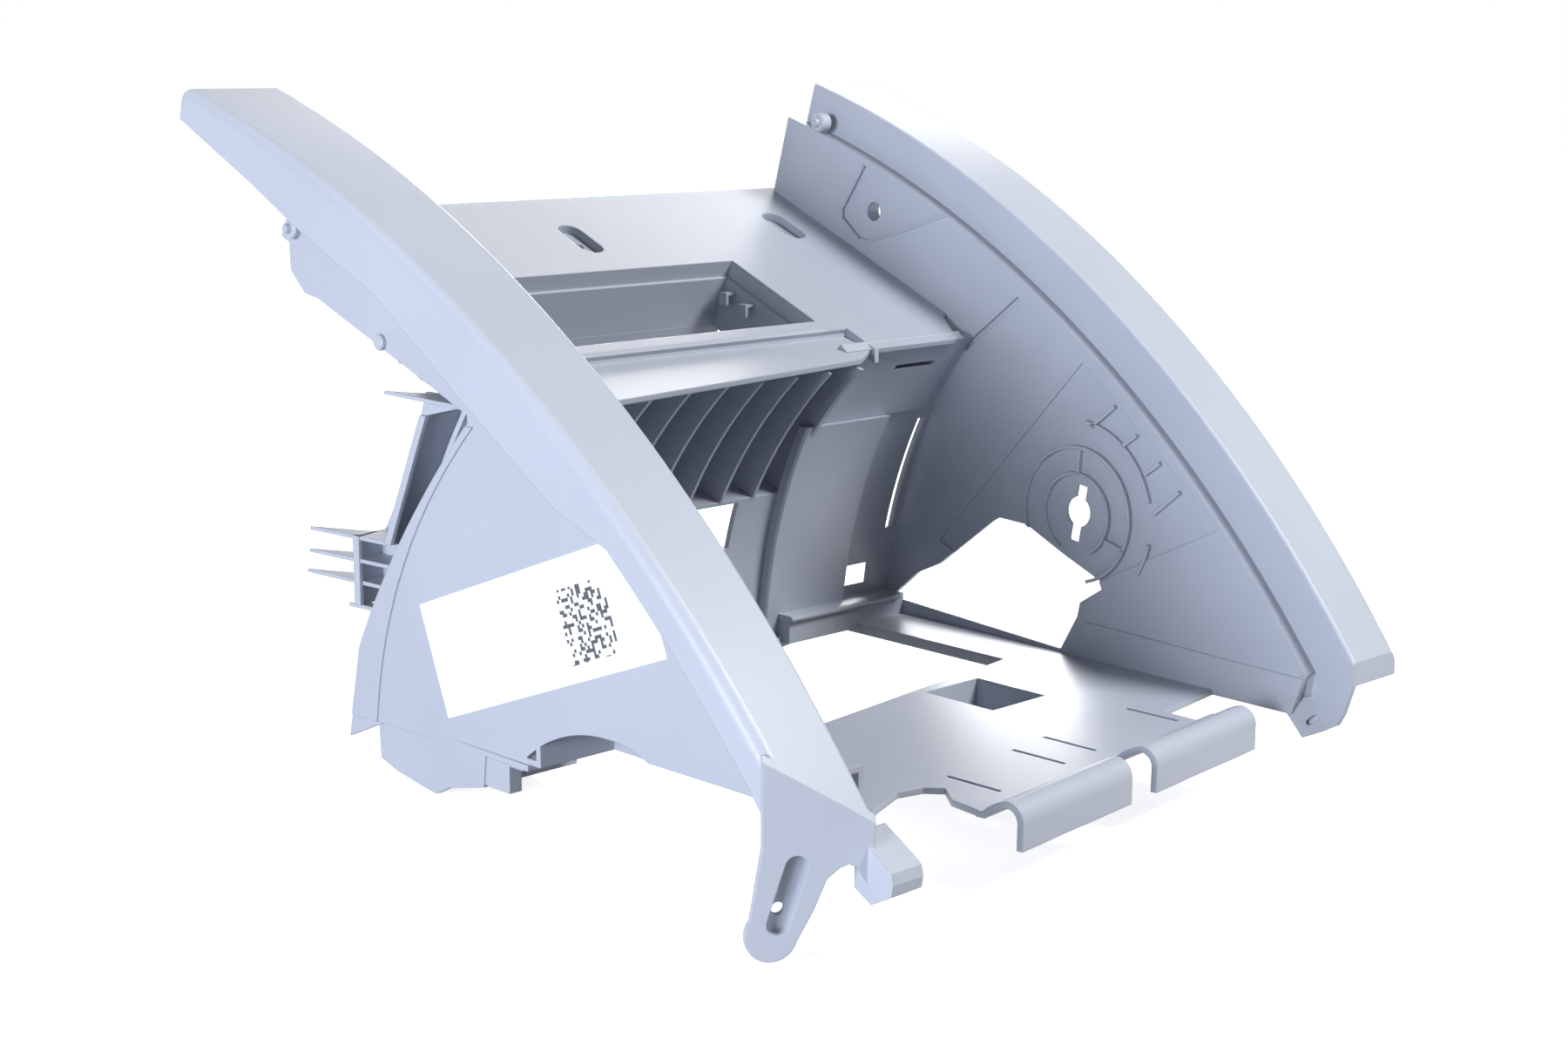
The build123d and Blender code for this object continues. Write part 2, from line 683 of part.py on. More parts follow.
# Back wall: columns, lower wall and filler, all on the lid's sweep
full_strip = sweep_strip(sweep_radius, wall, -wall, wall_top_z)
column_strip = sweep_strip(sweep_radius - column_step, 2 * wall, column_step_z, wall_top_z)
wall_pieces = [
    cross_piece(full_strip, column_left, column_right),
    cross_piece(column_strip, column_left, column_right),
    cross_piece(full_strip, -beyond, bin_left),
    cross_piece(sweep_strip(sweep_radius, wall, -wall, lower_wall_z), -beyond, column_left),
    cross_piece(
        sweep_strip(sweep_radius, wall, lower_wall_z - strip_overlap, fin_low_z + strip_overlap),
        lower_wall_right,
        column_left,
    ),
    cross_piece(sweep_strip(sweep_radius, wall, -wall, slit_low_z), column_right, beyond),
    cross_piece(sweep_strip(sweep_radius, wall, slit_high_z, wall_top_z), column_right, beyond),
]

# Curved fins in their closed pocket
fin_back_radius = sweep_radius + fin_depth
pocket_pieces = [
    cross_piece(sweep_strip(fin_back_radius, wall, fin_low_z, pocket_top_z), bin_left, column_left + wall),
    cross_piece(
        ring_sector(
            (pivot_y, pivot_z), sweep_radius, fin_back_radius + wall,
            sweep_angle(sweep_radius, fin_low_z), sweep_angle(sweep_radius, fin_low_z + rib_wall),
        ),
        bin_left,
        column_left + wall,
    ),
]


def fin_outline():
    """Side outline of a fin: curved front edge from the shelf's front down to the pocket's foot."""
    rear_radius = fin_back_radius + rib_sink
    start_angle = sweep_angle(rear_radius, fin_low_z + rib_wall)
    end_angle = sweep_angle(rear_radius, fin_rear_top_z)
    with BuildLine() as outline:
        front = ThreePointArc(
            (fin_front_y, fin_front_z),
            fin_front_middle,
            (sweep_y(sweep_radius, fin_low_z), fin_low_z),
        )
        rear = CenterArc((pivot_y, pivot_z), rear_radius, start_angle, end_angle - start_angle)
        Line(front @ 1, rear @ 0)
        Line(rear @ 1, front @ 0)
    return outline.edges()


fin_places = [(fin_first + index * fin_spacing, rib_wall) for index in range(fin_count)]
fin_places += [(bin_left, wall), (column_left, wall)]
fins = [cross_piece(fin_outline(), x, x + thickness) for x, thickness in fin_places]

# Floor
floor_corners = [
    (beyond, floor_rear_y), (beyond, floor_notch[0][1]), *floor_notch,
    (floor_notch[-1][0], lip_line_y(floor_notch[-1][0])), (lip_left, lip_line_y(lip_left)), *floor_scallop,
    (floor_left, raised_front_y), (floor_left, raised_rear_y),
    (-beyond, raised_rear_y), (-beyond, floor_rear_y),
]

with BuildPart() as floor:
    with BuildSketch(Plane.XY):
        make_face(polygon(floor_corners))
    extrude(amount=-wall)
    with BuildSketch(Plane.XY):
        make_face(polygon(opening_rear + opening_front))
        offset(amount=wall)
    extrude(amount=-opening_skirt)
    with BuildSketch(Plane.XY):
        make_face(polygon(opening_rear + opening_front))
    extrude(amount=-opening_skirt - wall, mode=Mode.SUBTRACT)
    # Closed pocket and the four slots
    pocket_middle = ((pocket_left + pocket_right) / 2, (pocket_rear_y + pocket_front_y) / 2)
    pocket_size = (pocket_right - pocket_left, pocket_rear_y - pocket_front_y)
    with BuildSketch(Plane.XY):
        with Locations(pocket_middle):
            Rectangle(pocket_size[0] + 2 * wall, pocket_size[1] + 2 * wall)
    extrude(amount=-pocket_depth - wall)
    with BuildSketch(Plane.XY):
        with Locations(pocket_middle):
            Rectangle(*pocket_size)
    extrude(amount=-pocket_depth, mode=Mode.SUBTRACT)
    with BuildSketch(Plane.XY):
        with Locations(slot_places):
            Rectangle(slot_width, slot_length, rotation=slot_skew)
    extrude(amount=-wall, mode=Mode.SUBTRACT)

# Rolled lip along the floor's front, in two lengths
lip_turn = radians(lip_skew)
lip_crown = (lip_reach * lip_crown_share, lip_crest)
lip_under_crown = (lip_crown[0], lip_crest - wall)


def lip_point(shares, reach):
    """Place in the lip's section, from shares of a reach and of the crest."""
    return (shares[0] * reach, shares[1] * lip_crest)


def lip_length(x_left, x_right):
    """One length of the rolled lip: its section carried along the skewed front line."""
    section_plane = Plane(
        origin=(x_left, lip_line_y(x_left), 0),
        x_dir=(sin(lip_turn), -cos(lip_turn), 0),
        z_dir=(-cos(lip_turn), -sin(lip_turn), 0),
    )
    with BuildPart() as length:
        with BuildSketch(section_plane):
            with BuildLine():
                ThreePointArc((0, 0), lip_point(lip_rise_middle, lip_crown[0]), lip_crown)
                front = Polyline(
                    (lip_reach, -lip_shoulder),
                    (lip_reach, -lip_drop),
                    (lip_reach - wall, -lip_drop),
                    (lip_reach - wall, -lip_shoulder),
                )
                ThreePointArc(lip_crown, lip_point(lip_fall_middle, lip_reach), front @ 0)
                ThreePointArc(front @ 1, lip_point(lip_under_fall_middle, lip_reach), lip_under_crown)
                root = Polyline((wall / 2, -wall), (-wall, -wall), (-wall, 0), (0, 0))
                ThreePointArc(lip_under_crown, lip_point(lip_under_rise_middle, lip_crown[0]), root @ 0)
            make_face()
        extrude(amount=-(x_right - x_left) / cos(lip_turn))
    return length.part


# Raised strip that joins the floor to the left cheek
raised_pieces = [
    box_between((-beyond, raised_front_y, raised_height - wall), (floor_left, raised_rear_y, raised_height)),
    box_between((floor_left, raised_front_y, -wall), (floor_left + wall, raised_rear_y, raised_height)),
    box_between((-beyond, raised_rear_y, -wall), (floor_left + wall, raised_rear_y + wall, raised_height)),
]

# Foot of the right column
foot = box_between((foot_left, foot_front_y, -wall), (column_right + ledge_width, foot_rear_y, foot_height))


def toe_points(steps):
    """Side-view places of points given as steps from the bands' toe."""
    return [(toe_y + step_y, toe_z + step_z) for step_y, step_z in steps]


def plate_through(corners, thickness):
    """Flat plate with its corners given in space, the first three of which set its plane."""
    first, second, third = [Vector(corner) for corner in corners[:3]]
    base = Plane(origin=first, x_dir=second - first, z_dir=(second - first).cross(third - first))
    places = [base.to_local_coords(Vector(corner)) for corner in corners]
    with BuildPart() as piece:
        with BuildSketch(base):
            make_face(polygon([(place.X, place.Y) for place in places]))
        extrude(amount=thickness)
    return piece.part


# Right toe: wall below the band, and the slanted tab with its hole
toe_wall = side_slab(polygon(toe_points(toe_wall_outline)), 0, wall)
tab_corners = [(inner_bottom, *place) for place in toe_points(tab_near)]
tab_corners += [(inner_bottom - tab_reach, *place) for place in reversed(toe_points(tab_far))]
tab_down = Vector(tab_corners[1]) - Vector(tab_corners[0])
tab_across = Vector(tab_corners[3]) - Vector(tab_corners[0])
tab_plane = Plane(origin=tab_corners[0], x_dir=tab_down, z_dir=tab_down.cross(tab_across))

with BuildPart() as tab:
    add(plate_through(tab_corners, wall))
    with BuildSketch(tab_plane):
        with Locations(tab_hole):
            SlotOverall(*tab_hole_size, rotation=tab_hole_turn)
    extrude(amount=wall, both=True, mode=Mode.SUBTRACT)

# Tray below the floor at the left rear: four walls under the floor, open below, and a thin front edge
tray_outline = [
    (tray_rear_y, -wall), *tray_floor,
    (tray_front_y, -2 * wall), (tray_edge_y, -2 * wall), (tray_edge_y, -wall),
]
tray = cross_piece(polygon(tray_outline), -tray_left, -tray_right)
tray_low_z = min(z for y, z in tray_floor)
tray_hollow = box_between(
    (wall - tray_left, tray_front_y + wall, tray_low_z - wall),
    (-tray_right - wall, tray_floor[0][0] - wall, -wall),
)


def behind_wall(steps):
    """Side-view places of points given as steps behind the back wall's rearmost line, with their heights."""
    return [(wall_rear_y + step, height) for step, height in steps]


# Rear bracket: pointed plates carried by the left cheek and the wall, with a stay and a web between them
bracket_pieces = []
for height, (tip_x, tip_step) in bracket_plates:
    root_y = sweep_y(sweep_radius + wall / 2, height)
    corners = [(tip_x, wall_rear_y + tip_step), (-bracket_root, root_y), (-bracket_right, root_y)]
    bracket_pieces.append(plate(corners, Plane.XY.offset(height), rib_wall))
for height, tip, root_y in bracket_fins:
    corners = [tip, (-bracket_root, root_y), (-bracket_right, root_y)]
    bracket_pieces.append(plate(corners, Plane.XY.offset(height), rib_wall))
bracket_pieces.append(cross_piece(polygon(behind_wall(stay_outline)), -stay_x, rib_wall - stay_x))
bracket_pieces.append(cross_piece(polygon(behind_wall(web_outline)), -web_x, rib_wall - web_x))

# Hook at the left toe
hook = cross_piece(polygon(toe_points(hook_outline)), -inner_bottom - wall, hook_length - inner_bottom)

# The left ledge and cheek end at the slanted plane as their band does
with BuildPart() as left_side:
    add(left_ledge)
    add(left_cheek.part)
    split(bisect_by=end_plane, keep=Keep.BOTTOM)

# What lies between the cheeks ends at their outer faces
inner_pieces = [
    panel.part, shelf, riser, side_riser, *wall_pieces, *pocket_pieces, *fins,
    floor.part, *raised_pieces, foot,
]

with BuildPart() as right_side:
    add(inner_pieces)
    split(bisect_by=side_plane(cheek_face_top, cheek_face_bottom), keep=Keep.BOTTOM)

with BuildPart() as between_cheeks:
    add(mirror(right_side.part, about=Plane.YZ, mode=Mode.PRIVATE))
    split(bisect_by=side_plane(cheek_face_top, cheek_face_bottom), keep=Keep.BOTTOM)

outer_pieces = [
    right_band.part, right_ledge, right_cheek.part, left_band.part, left_side.part, lug.part,
    toe_wall, tab.part, tray, hook, *bracket_pieces,
]
front_lips = [lip_length(lip_left, lip_gap_left), lip_length(lip_gap_right, lip_right)]
column_cuts = [
    box_between((slit_left, fin_front_y, slit_z), (slit_right, foot_front_y, slit_z + slit_width)),
    box_between(
        (foot_window_left, foot_front_y, foot_window_low),
        (foot_window_right, floor_rear_y, foot_window_high),
    ),
]

with BuildPart() as moulding:
    add(mirror(between_cheeks.part, about=Plane.YZ, mode=Mode.PRIVATE))
    add(outer_pieces)
    add(front_lips)
    add([tray_hollow, *column_cuts], mode=Mode.SUBTRACT)

# The finished part stands on its lowest point, with the origin below the middle of its box
extent = moulding.part.bounding_box()
seat = Location((0, -(extent.min.Y + extent.max.Y) / 2, -extent.min.Z))

with BuildPart() as glove_box_frame:
    add(moulding.part.moved(seat))

# Paper label on the left cheek's outer face
label_slope = (inner_bottom - inner_top) / chord_length
label_x = side_x(wall - ledge_width, *label_centre)
label_plane = Plane(
    origin=(-label_x, *label_centre),
    x_dir=(0, -cos(radians(label_tilt)), sin(radians(label_tilt))),
    z_dir=(-1, -label_slope * chord_y, -label_slope * chord_z),
)

with BuildPart() as label_blank:
    with BuildSketch(label_plane):
        Rectangle(label_length, label_height)
    extrude(amount=label_thickness)

with BuildPart() as label:
    add(label_blank.part.moved(seat))

glove_box_frame.part.label = "glove_box_frame"
label.part.label = "label"
export_step(glove_box_frame.part, "parts/glove_box_frame.step")
export_step(label.part, "parts/label.step")
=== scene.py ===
from math import cos, radians, sin

import bmesh
import bpy
import numpy as np
from mathutils import Matrix, Vector


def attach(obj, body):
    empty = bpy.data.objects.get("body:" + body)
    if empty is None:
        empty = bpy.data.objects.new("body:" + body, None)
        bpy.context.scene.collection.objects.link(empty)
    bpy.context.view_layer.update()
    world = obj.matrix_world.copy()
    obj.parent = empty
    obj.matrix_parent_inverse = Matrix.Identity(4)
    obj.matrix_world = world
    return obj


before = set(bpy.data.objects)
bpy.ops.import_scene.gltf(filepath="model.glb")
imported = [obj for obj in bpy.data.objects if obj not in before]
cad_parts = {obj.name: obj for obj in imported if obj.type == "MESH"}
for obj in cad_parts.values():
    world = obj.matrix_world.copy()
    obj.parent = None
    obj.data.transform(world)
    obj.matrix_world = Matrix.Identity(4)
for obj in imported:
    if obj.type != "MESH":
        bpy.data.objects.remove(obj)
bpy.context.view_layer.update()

MM = 0.001

# The drawing's own zero, the top of the floor below the bands' top ends, in the frame
DRAWING_ZERO = Vector((0.0, 157.36, 28.3)) * MM

# Sizes of the moulding in the drawing, in millimetres: the lid's pivot line, the back wall's
# radius about it, and the cheeks' outer faces, whose distance X changes with Y and with Z
PIVOT_Y = -310.0
PIVOT_Z = -15.0
SWEEP_RADIUS = 247.0
WALL = 2.5
RIB_WALL = 1.6
CHEEK_OUT = 143.886
CHEEK_PER_Y = 0.020504
CHEEK_PER_Z = 0.014340
FIN_DEPTH = 15.0

# A rib, a bead or a strip is let into the face that carries it by this much
LET_IN = 0.5

# Right toe: the web's corners, the slanted tab's directions, and the plate behind its hole
TOE_WEB = [(142.6, -307.6, 4.6), (135.0, -295.4, 3.6), (134.8, -308.6, 16.2), (142.6, -308.8, 16.2)]
TAB_DOWN = np.array((0.0, -0.596, -0.803))
TAB_ACROSS = np.array((-0.549, 0.672, -0.498))
TAB_HOLE = np.array((139.8, -310.3, -4.3))
TAB_BACK_DEPTH = 2.2
TAB_BACK_THICKNESS = 1.4
TAB_BACK_HALF_LENGTH = 4.2
TAB_BACK_HALF_WIDTH = 3.2

# Right column: its raised pad, whose left side leans, the strip that narrows the long slit, and
# the back of the upper slit. Heights are Z, sides are X and depths lie behind the back wall's face
PAD_LOW = -2.0
PAD_HIGH = 103.0
PAD_LEFT = 54.6
PAD_LEAN = 0.0228
PAD_RIGHT = 106.0
PAD_PROUD = 5.0
PAD_EDGE = 1.0
SLIT_HEIGHTS = (41.0, 99.0)
SLIT_STRIP = (137.6, 143.2)
UPPER_SLIT_HEIGHTS = (125.0, 130.0)
UPPER_SLIT_BACK = (94.5, 123.5)
UPPER_SLIT_DEPTHS = (3.3, 4.8)

# Left cheek's rim strip: points (Y, Z) of the rim and of the strip's inner line. Below the rim's last
# point the rim leans by RIM_FOOT_LEAN, and the strip stays RIM_GAP off it
RIM_POINTS = [(-111.0, 127.0), (-66.0, 75.5), (-33.0, 24.0)]
RIM_FOOT_LEAN = 0.247
RIM_GAP = 0.3
INNER_POINTS = [(-115.5, 126.5), (-89.0, 99.0), (-70.0, 68.0), (-56.6, 44.0), (-49.0, 20.7), (-44.0, -6.4)]
RIM_STRIP_HEIGHTS = (-6.0, 126.0)
RIM_STRIP_PROUD = 0.7

# Rear bracket: each upright wall's upper and lower left corners and its step to the right end, its
# thickness as a step, the width of its flange, and the corners of the block before the tray
BRACKET_WALLS = [
    ((-145.0, -88.1, 127.6), (-145.0, -61.4, 72.0), (42.0, 12.6, 0.0)),
    ((-144.4, -38.0, 72.0), (-144.4, -38.0, 43.0), (32.0, 9.6, 0.0)),
]
BRACKET_THICKNESS = (-0.5, 1.6, 0.0)
BRACKET_FLANGE = (0.0, 4.2, 0.0)
TRAY_BLOCK = ((-141.4, -131.0, -17.0), (-135.5, -114.6, -2.4))

# Right cheek, as side-view places (Y, Z): rings about the keyhole with their radius and their first
# and last angle, the spokes between them, and the bead round the screw boss's field
DISC_CENTRE = (-182.5, 64.5)
DISC_RINGS = [(18.5, 30, 240), (30.5, 45, 255), (42.5, 95, 165), (42.5, 190, 210)]
DISC_SPOKES = [
    ((-189.9, 105.2), (-202.6, 115.6)), ((-208.0, 98.8), (-215.5, 104.4)),
    ((-220.5, 87.7), (-228.7, 93.8)), ((-226.5, 71.1), (-239.9, 82.7)),
    ((-183.0, 83.0), (-184.0, 94.5)), ((-200.0, 55.0), (-211.0, 52.0)),
]
DISC_RIB_HEIGHT = 1.3
BOSS_FIELD = [
    (-42.5, 214.0), (-28.1, 192.5), (-28.1, 188.3), (-40.1, 178.5),
    (-47.2, 178.1), (-70.0, 184.4), (-97.6, 193.3),
]
BOSS_BEAD_WIDTH = 1.2
BOSS_BEAD_HEIGHT = 0.8

# Bead along the shelf's rear edge
SHELF_BEAD_HEIGHTS = (139.0, 146.0)
SHELF_BEAD = (58.0, 72.6)

# Window in the sloping panel: its rear edge (Y, Z), the lower end of its rear wall as steps along the
# panel and depths below it, and the hooks on its right wall, each an arm with a drop at its left end
PANEL_SLOPE = radians(23.1)
WINDOW_REAR = (-40.0, 173.0)
WINDOW_LEFT = -102.5
WINDOW_LENGTH = 165.0
REAR_WALL_STEPS = (-1.5, 2.5)
REAR_WALL_DEPTHS = (32.0, 45.5)
HOOK_PLACES = [(-44.0, 159.0), (-57.0, 154.5)]
HOOK_LEFT = 52.5
HOOK_RIGHT = 58.9
HOOK_WIDTH = 5.0
HOOK_THICKNESS = 1.5
HOOK_DROP = 6.0
HOOK_OVERLAP = 0.1

# Top plate of the column's foot: its section (Y, Z) with a rounded front edge, its left end and length
FOOT_SECTION = [(-62.5, 10.9), (-77.2, 10.9), (-78.6, 10.2), (-79.0, 9.2), (-78.4, 8.3), (-62.5, 8.3)]
FOOT_LEFT = 62.4
FOOT_LENGTH = 73.0

# Low strip inside the right cheek as places (Y, Z), and the pegs: places X with radii, and centre (Y, Z)
LOW_STRIP = [(-308.3, 13.8), (-265.0, 14.6), (-191.5, 16.6), (-182.0, 6.0), (-178.0, -2.0), (-303.4, -2.0)]
LOW_STRIP_PROUD = 0.6
PEGS = [
    ([(146.0, 4.6), (141.5, 4.6), (140.6, 3.9), (140.6, 2.4), (138.4, 2.0)], (-13.0, 233.5)),
    ([(-144.0, 4.4), (-149.0, 4.4), (-149.8, 3.6), (-149.8, 2.2), (-151.8, 1.8)], (0.2, 195.5)),
    ([(-142.0, 3.4), (-146.4, 3.4), (-147.0, 2.8)], (-57.0, 153.6)),
]

# How finely the forms are drawn: corners of a peg, degrees between a ring's stations and the angle
# between two faces from which their edge is sharp
PEG_CORNERS = 24
RING_STEP = 5
SHARP_ANGLE = radians(30)

# Camera, from the drawing's zero: place, turn to the right, dip and lean
CAMERA_PLACE = Vector((-674.3, -838.0, 269.2)) * MM
CAMERA_TURN = radians(43.91)
CAMERA_DIP = radians(11.415)
CAMERA_LEAN = radians(-0.321)
LENS_LENGTH = 54.02
SENSOR_WIDTH = 36.0

# Colours as sRGB hex values
PLASTIC_COLOUR = "#B4BAC6"
PLASTIC_SHADE = "#AAB0BC"
PAPER_COLOUR = "#F4F4F2"
INK_COLOUR = "#4A4D54"
FLOOR_COLOUR = "#E4E6EA"
FLOOR_UNSEEN = "#6E7074"
SKY_COLOUR = "#FFFFFF"
SOFT_BOX_COLOUR = "#EEF3FF"

# Plastic: cloudy patches from the flow in the mould, the mould's grain of about 0.3 mm, drawn at
# 0.8 mm so that it shows, and the rounding of the mould's edges, which is too small for the mesh
CLOUD_SIZE = 60.0 * MM
GRAIN_SIZE = 0.8 * MM
GRAIN_HEIGHT = 0.2 * MM
EDGE_ROUND = 0.7 * MM

# Label: centre from the drawing's zero, tilt on the left cheek, and its printed square of cells,
# with the square's centre to the right of and below the label's, its half size and one cell
LABEL_CENTRE = Vector((0.0, -149.9, 52.4)) * MM
LABEL_TILT = radians(20.7)
PRINT_CENTRE = (31.0 * MM, -2.5 * MM)
PRINT_HALF = 14.5 * MM
PRINT_CELL = 1.38 * MM
PRINT_DENSITY = 0.38

# Floor: half its side in metres. It glows for the eye alone: least below the part, where it keeps
# the shadow, and white far out
FLOOR_REACH = 6.0
GLOW_NEAR = 0.80
GLOW_START = 0.35
GLOW_END = 1.30

# Lamps, aimed at the middle of the part: place and size in metres, power in watts, colour. The
# soft box and the front lamp light what the photograph shows, the rear fill the other sides
LAMP_TARGET = (0.0, 0.0, 0.14)
LAMPS = [
    ("left_soft_box", (-1.9, -0.35, 0.24), 0.9, 62.0, SOFT_BOX_COLOUR),
    ("front_lamp", (0.75, -1.25, 1.60), 0.7, 48.0, SKY_COLOUR),
    ("rear_fill", (1.55, 1.50, 0.75), 1.0, 34.0, SKY_COLOUR),
]
SURROUND = 0.045

# Sockets of a colour Mix node that its names don't tell apart: the two colours, and the mixed one
FIRST_COLOUR = 6
SECOND_COLOUR = 7
MIXED_COLOUR = 2


def linear(hex_colour):
    """Linear RGBA of an sRGB hex colour: each channel through the sRGB curve, alpha 1."""
    channels = np.array([int(hex_colour[i:i + 2], 16) for i in (1, 3, 5)]) / 255
    curve = np.where(channels <= 0.04045, channels / 12.92, ((channels + 0.055) / 1.055) ** 2.4)
    return (*curve.tolist(), 1.0)


def add_node(tree, kind, inputs=None, **settings):
    """Adds a node with its settings, and sets each input to a value or links it to another node's output."""
    made = tree.nodes.new(kind)
    for name, value in settings.items():
        setattr(made, name, value)
    for name, value in (inputs or {}).items():
        if isinstance(value, bpy.types.NodeSocket):
            tree.links.new(value, made.inputs[name])
        else:
            made.inputs[name].default_value = value
    return made


def new_material(name):
    """Empty node material with its output node: returns the material, its tree and the output."""
    material = bpy.data.materials.new(name)
    material.use_nodes = True
    material.node_tree.nodes.clear()
    output = add_node(material.node_tree, "ShaderNodeOutputMaterial")
    return material, material.node_tree, output


def moulded_polypropylene():
    """Satin polypropylene from a spark-eroded mould: even colour, fine grain, soft highlights."""
    material, tree, output = new_material("moulded_polypropylene")
    place = add_node(tree, "ShaderNodeTexCoord").outputs["Object"]
    clouds = add_node(tree, "ShaderNodeTexNoise", {"Vector": place, "Scale": 1 / CLOUD_SIZE, "Detail": 2.0})
    tint = add_node(tree, "ShaderNodeMix", {
        "Factor": clouds.outputs["Fac"],
        FIRST_COLOUR: linear(PLASTIC_SHADE),
        SECOND_COLOUR: linear(PLASTIC_COLOUR),
    }, data_type="RGBA")
    grain = add_node(tree, "ShaderNodeTexNoise", {"Vector": place, "Scale": 1 / GRAIN_SIZE, "Detail": 2.0})
    edges = add_node(tree, "ShaderNodeBevel", {"Radius": EDGE_ROUND}, samples=6)
    bump = add_node(tree, "ShaderNodeBump", {
        "Height": grain.outputs["Fac"],
        "Strength": 0.12,
        "Distance": GRAIN_HEIGHT,
        "Normal": edges.outputs["Normal"],
    })
    shader = add_node(tree, "ShaderNodeBsdfPrincipled", {
        "Base Color": tint.outputs[MIXED_COLOUR],
        "Roughness": 0.42,
        "IOR": 1.49,
        "Normal": bump.outputs["Normal"],
    })
    tree.links.new(shader.outputs["BSDF"], output.inputs["Surface"])
    return material


def printed_cells(tree, centred):
    """1 on the dark cells of the label's printed square, and 0 elsewhere. A place is measured along the
    label and up it, and it lies in the square where both differ from the square's centre by half its
    side at most. It is rounded down to its cell, and a random number for each cell picks the dark ones."""
    along = (0.0, -cos(LABEL_TILT), sin(LABEL_TILT))
    upward = (0.0, sin(LABEL_TILT), cos(LABEL_TILT))
    reaches = []
    insides = []
    for direction, middle in zip((along, upward), PRINT_CENTRE):
        reach = add_node(tree, "ShaderNodeVectorMath", {0: centred, 1: direction}, operation="DOT_PRODUCT")
        reaches.append(reach.outputs["Value"])
        inside = add_node(tree, "ShaderNodeMath", {
            0: reaches[-1], 1: middle, 2: PRINT_HALF,
        }, operation="COMPARE")
        insides.append(inside.outputs[0])
    square = add_node(tree, "ShaderNodeMath", {0: insides[0], 1: insides[1]}, operation="MULTIPLY")
    flat = add_node(tree, "ShaderNodeCombineXYZ", {"X": reaches[0], "Y": reaches[1]})
    cells = add_node(tree, "ShaderNodeVectorMath", {
        0: flat.outputs[0], 1: (PRINT_CELL, PRINT_CELL, 1.0),
    }, operation="SNAP")
    chance = add_node(tree, "ShaderNodeTexWhiteNoise", {"Vector": cells.outputs["Vector"]})
    dark = add_node(tree, "ShaderNodeMath", {
        0: chance.outputs["Value"], 1: PRINT_DENSITY,
    }, operation="LESS_THAN")
    ink = add_node(tree, "ShaderNodeMath", {0: dark.outputs[0], 1: square.outputs[0]}, operation="MULTIPLY")
    return ink.outputs[0]


def label_paper():
    """Coated label paper: white, smooth and matte, with a square of small cells in no set order."""
    material, tree, output = new_material("label_paper")
    place = add_node(tree, "ShaderNodeTexCoord").outputs["Object"]
    centred = add_node(tree, "ShaderNodeVectorMath", {
        0: place, 1: LABEL_CENTRE + DRAWING_ZERO,
    }, operation="SUBTRACT")
    tint = add_node(tree, "ShaderNodeMix", {
        "Factor": printed_cells(tree, centred.outputs["Vector"]),
        FIRST_COLOUR: linear(PAPER_COLOUR),
        SECOND_COLOUR: linear(INK_COLOUR),
    }, data_type="RGBA")
    shader = add_node(tree, "ShaderNodeBsdfPrincipled", {
        "Base Color": tint.outputs[MIXED_COLOUR],
        "Roughness": 0.55,
        "IOR": 1.5,
    })
    tree.links.new(shader.outputs["BSDF"], output.inputs["Surface"])
    return material


def eye_rays(tree):
    """1 for the rays that show a background: straight from the eye, or by way of gloss or glass."""
    rays = add_node(tree, "ShaderNodeLightPath").outputs
    gloss = add_node(tree, "ShaderNodeMath", {
        0: rays["Is Camera Ray"], 1: rays["Is Glossy Ray"],
    }, operation="MAXIMUM")
    glass = add_node(tree, "ShaderNodeMath", {
        0: gloss.outputs[0], 1: rays["Is Transmission Ray"],
    }, operation="MAXIMUM")
    return glass.outputs[0]


def studio_floor():
    """Pale seamless floor paper with a faint shadow below the part, over-lit to white further out."""
    material, tree, output = new_material("studio_floor")
    seen = eye_rays(tree)
    place = add_node(tree, "ShaderNodeTexCoord").outputs["Object"]
    away = add_node(tree, "ShaderNodeVectorMath", {0: place}, operation="LENGTH").outputs["Value"]
    glow = add_node(tree, "ShaderNodeMapRange", {
        "Value": away, "From Min": GLOW_START, "From Max": GLOW_END, "To Min": GLOW_NEAR, "To Max": 1.0,
    })
    strength = add_node(tree, "ShaderNodeMath", {0: seen, 1: glow.outputs[0]}, operation="MULTIPLY")
    tint = add_node(tree, "ShaderNodeMix", {
        "Factor": seen,
        FIRST_COLOUR: linear(FLOOR_UNSEEN),
        SECOND_COLOUR: linear(FLOOR_COLOUR),
    }, data_type="RGBA")
    paper = add_node(tree, "ShaderNodeBsdfDiffuse", {"Color": tint.outputs[MIXED_COLOUR]})
    lit = add_node(tree, "ShaderNodeEmission", {
        "Color": linear(SKY_COLOUR),
        "Strength": strength.outputs[0],
    })
    both = add_node(tree, "ShaderNodeAddShader", {0: paper.outputs["BSDF"], 1: lit.outputs["Emission"]})
    tree.links.new(both.outputs["Shader"], output.inputs["Surface"])
    return material


def dress(node_name, material):
    """Gives a node of the frame one material in place of its own."""
    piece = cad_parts[node_name]
    piece.data.materials.clear()
    piece.data.materials.append(material)


def add_floor():
    """Flat square of floor, centred below the part."""
    mesh = bpy.data.meshes.new("floor")
    signs = ((-1, -1), (1, -1), (1, 1), (-1, 1))
    corners = [(FLOOR_REACH * across, FLOOR_REACH * along, 0) for across, along in signs]
    mesh.from_pydata(corners, [], [(0, 1, 2, 3)])
    mesh.materials.append(studio_floor())
    floor = bpy.data.objects.new("floor", mesh)
    bpy.context.scene.collection.objects.link(floor)


